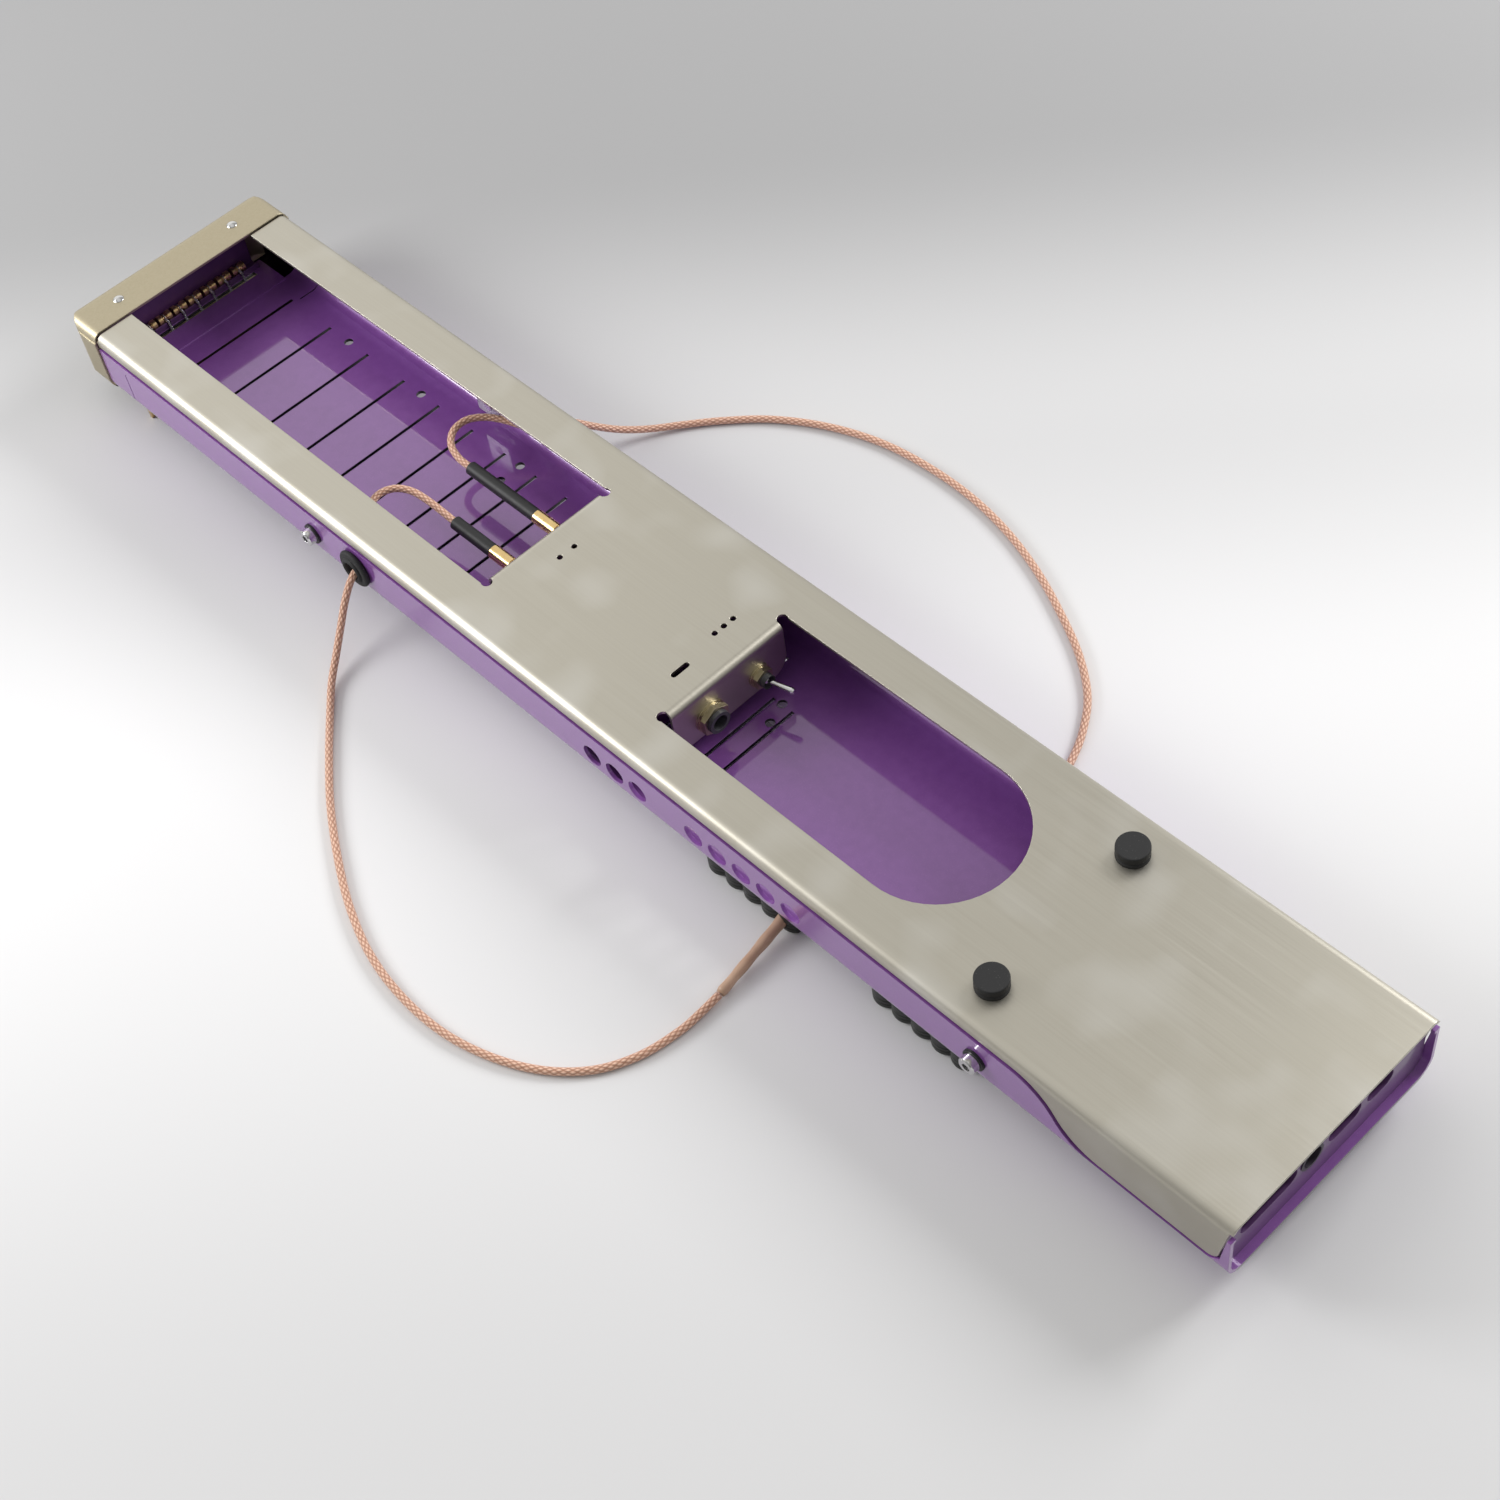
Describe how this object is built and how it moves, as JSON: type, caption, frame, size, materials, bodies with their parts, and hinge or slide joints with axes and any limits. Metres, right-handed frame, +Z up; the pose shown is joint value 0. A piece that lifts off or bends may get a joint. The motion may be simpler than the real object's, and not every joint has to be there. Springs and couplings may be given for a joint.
{
  "type": "lap steel guitar",
  "caption": "Lap steel guitar of folded sheet metal lying on its strings: purple shell, steel back with windows, sliding pickups with cables and screw tuners.",
  "frame": {"origin": "centre of the plan of the body, on the plane that the nut and bridge rest on, with the strings down", "axes": "+X from the head cap to the tail, +Y to the side of the thinnest string, +Z up through the steel back"},
  "size_m": [0.6188, 0.3033, 0.045],
  "materials": {
    "steel_back": "brushed along the body",
    "purple_paint": "satin metallic paint",
    "nickel_cap": "satin warm nickel",
    "bright_chrome": "polished",
    "brass": "satin",
    "gold_plate": "polished",
    "string_steel": "drawn and wound wire",
    "dark_paint": "satin",
    "black_rubber": "matte",
    "black_plastic": "matte",
    "zinc_steel": "satin",
    "switch_case": "smooth",
    "cord_jacket": "braided, copper coloured",
    "relief_sleeve": "translucent, tan",
    "wire_jacket": "smooth"
  },
  "bodies": {
    "body": {"back_plate": "steel_back", "front_shell": "purple_paint", "head_cap": "nickel_cap", "cap_pins": "bright_chrome", "string_anchor": "dark_paint", "ball_ends": "brass", "strings_head": "string_steel", "strings_main": "string_steel", "strings_tail": "string_steel", "nut": "brass", "bridge": "brass", "edge_gasket": "black_rubber", "side_brackets": "zinc_steel", "side_screws": "bright_chrome", "screw_washers": "black_plastic", "rubber_feet": "black_rubber", "jack_body": "switch_case", "jack_nut": "brass", "toggle_body": "switch_case", "toggle_nut": "brass", "sockets": "gold_plate", "wiring": "wire_jacket", "plug_near": "gold_plate", "plug_far": "gold_plate", "sleeve_near": "black_plastic", "sleeve_far": "black_plastic", "cord_near": "cord_jacket", "cord_far": "cord_jacket", "grommet_near": "black_rubber", "grommet_far": "black_rubber", "tuner_frame": "zinc_steel", "tail_wall": "purple_paint", "tail_eyelet": "dark_paint"},
    "toggle_lever": {"toggle_lever": "bright_chrome"},
    "pickup_1": {"pickup_1_case": "black_plastic", "pickup_1_core": "zinc_steel", "relief_1": "relief_sleeve"},
    "pickup_2": {"pickup_2_case": "black_plastic", "pickup_2_core": "zinc_steel", "relief_2": "relief_sleeve"},
    "tuner_screw_1": {"tuner_screw_1": "brass"},
    "carriage_1": {"carriage_1": "zinc_steel"},
    "tuner_screw_2": {"tuner_screw_2": "brass"},
    "carriage_2": {"carriage_2": "zinc_steel"},
    "tuner_screw_3": {"tuner_screw_3": "brass"},
    "carriage_3": {"carriage_3": "zinc_steel"},
    "tuner_screw_4": {"tuner_screw_4": "brass"},
    "carriage_4": {"carriage_4": "zinc_steel"},
    "tuner_screw_5": {"tuner_screw_5": "brass"},
    "carriage_5": {"carriage_5": "zinc_steel"},
    "tuner_screw_6": {"tuner_screw_6": "brass"},
    "carriage_6": {"carriage_6": "zinc_steel"},
    "tuner_screw_7": {"tuner_screw_7": "brass"},
    "carriage_7": {"carriage_7": "zinc_steel"},
    "tuner_screw_8": {"tuner_screw_8": "brass"},
    "carriage_8": {"carriage_8": "zinc_steel"}
  },
  "joints": [
    {"name": "toggle_tilt", "type": "hinge", "parent": "body", "child": "toggle_lever", "pos_m": [0.044, 0.0135, 0.025], "axis": [0, 0, 1], "range_deg": [-26, 0]},
    {"name": "pickup_1_slide", "type": "slide", "parent": "body", "child": "pickup_1", "axis": [1, 0, 0], "range_m": [-0.03, 0.01]},
    {"name": "pickup_2_slide", "type": "slide", "parent": "body", "child": "pickup_2", "axis": [1, 0, 0], "range_m": [-0.008, 0.008]},
    {"name": "tuner_1_turn", "type": "hinge", "parent": "body", "child": "tuner_screw_1", "pos_m": [0.273, -0.028, 0.016], "axis": [1, 0, 0], "range_deg": [-2165, 2165]},
    {"name": "carriage_1_slide", "type": "slide", "parent": "body", "child": "carriage_1", "axis": [1, 0, 0], "range_m": [-0.0042, 0.0042]},
    {"name": "tuner_2_turn", "type": "hinge", "parent": "body", "child": "tuner_screw_2", "pos_m": [0.273, -0.02, 0.016], "axis": [1, 0, 0], "range_deg": [-2165, 2165]},
    {"name": "carriage_2_slide", "type": "slide", "parent": "body", "child": "carriage_2", "axis": [1, 0, 0], "range_m": [-0.0042, 0.0042]},
    {"name": "tuner_3_turn", "type": "hinge", "parent": "body", "child": "tuner_screw_3", "pos_m": [0.273, -0.012, 0.016], "axis": [1, 0, 0], "range_deg": [-2165, 2165]},
    {"name": "carriage_3_slide", "type": "slide", "parent": "body", "child": "carriage_3", "axis": [1, 0, 0], "range_m": [-0.0042, 0.0042]},
    {"name": "tuner_4_turn", "type": "hinge", "parent": "body", "child": "tuner_screw_4", "pos_m": [0.273, -0.004, 0.016], "axis": [1, 0, 0], "range_deg": [-2165, 2165]},
    {"name": "carriage_4_slide", "type": "slide", "parent": "body", "child": "carriage_4", "axis": [1, 0, 0], "range_m": [-0.0042, 0.0042]},
    {"name": "tuner_5_turn", "type": "hinge", "parent": "body", "child": "tuner_screw_5", "pos_m": [0.273, 0.004, 0.016], "axis": [1, 0, 0], "range_deg": [-2165, 2165]},
    {"name": "carriage_5_slide", "type": "slide", "parent": "body", "child": "carriage_5", "axis": [1, 0, 0], "range_m": [-0.0042, 0.0042]},
    {"name": "tuner_6_turn", "type": "hinge", "parent": "body", "child": "tuner_screw_6", "pos_m": [0.273, 0.012, 0.016], "axis": [1, 0, 0], "range_deg": [-2165, 2165]},
    {"name": "carriage_6_slide", "type": "slide", "parent": "body", "child": "carriage_6", "axis": [1, 0, 0], "range_m": [-0.0042, 0.0042]},
    {"name": "tuner_7_turn", "type": "hinge", "parent": "body", "child": "tuner_screw_7", "pos_m": [0.273, 0.02, 0.016], "axis": [1, 0, 0], "range_deg": [-2165, 2165]},
    {"name": "carriage_7_slide", "type": "slide", "parent": "body", "child": "carriage_7", "axis": [1, 0, 0], "range_m": [-0.0042, 0.0042]},
    {"name": "tuner_8_turn", "type": "hinge", "parent": "body", "child": "tuner_screw_8", "pos_m": [0.273, 0.028, 0.016], "axis": [1, 0, 0], "range_deg": [-2165, 2165]},
    {"name": "carriage_8_slide", "type": "slide", "parent": "body", "child": "carriage_8", "axis": [1, 0, 0], "range_m": [-0.0042, 0.0042]}
  ],
  "couplings": [
    {"joint": "tuner_1_turn", "follows": "carriage_1_slide", "rad_per_m": -8976},
    {"joint": "tuner_2_turn", "follows": "carriage_2_slide", "rad_per_m": -8976},
    {"joint": "tuner_3_turn", "follows": "carriage_3_slide", "rad_per_m": -8976},
    {"joint": "tuner_4_turn", "follows": "carriage_4_slide", "rad_per_m": -8976},
    {"joint": "tuner_5_turn", "follows": "carriage_5_slide", "rad_per_m": -8976},
    {"joint": "tuner_6_turn", "follows": "carriage_6_slide", "rad_per_m": -8976},
    {"joint": "tuner_7_turn", "follows": "carriage_7_slide", "rad_per_m": -8976},
    {"joint": "tuner_8_turn", "follows": "carriage_8_slide", "rad_per_m": -8976}
  ]
}
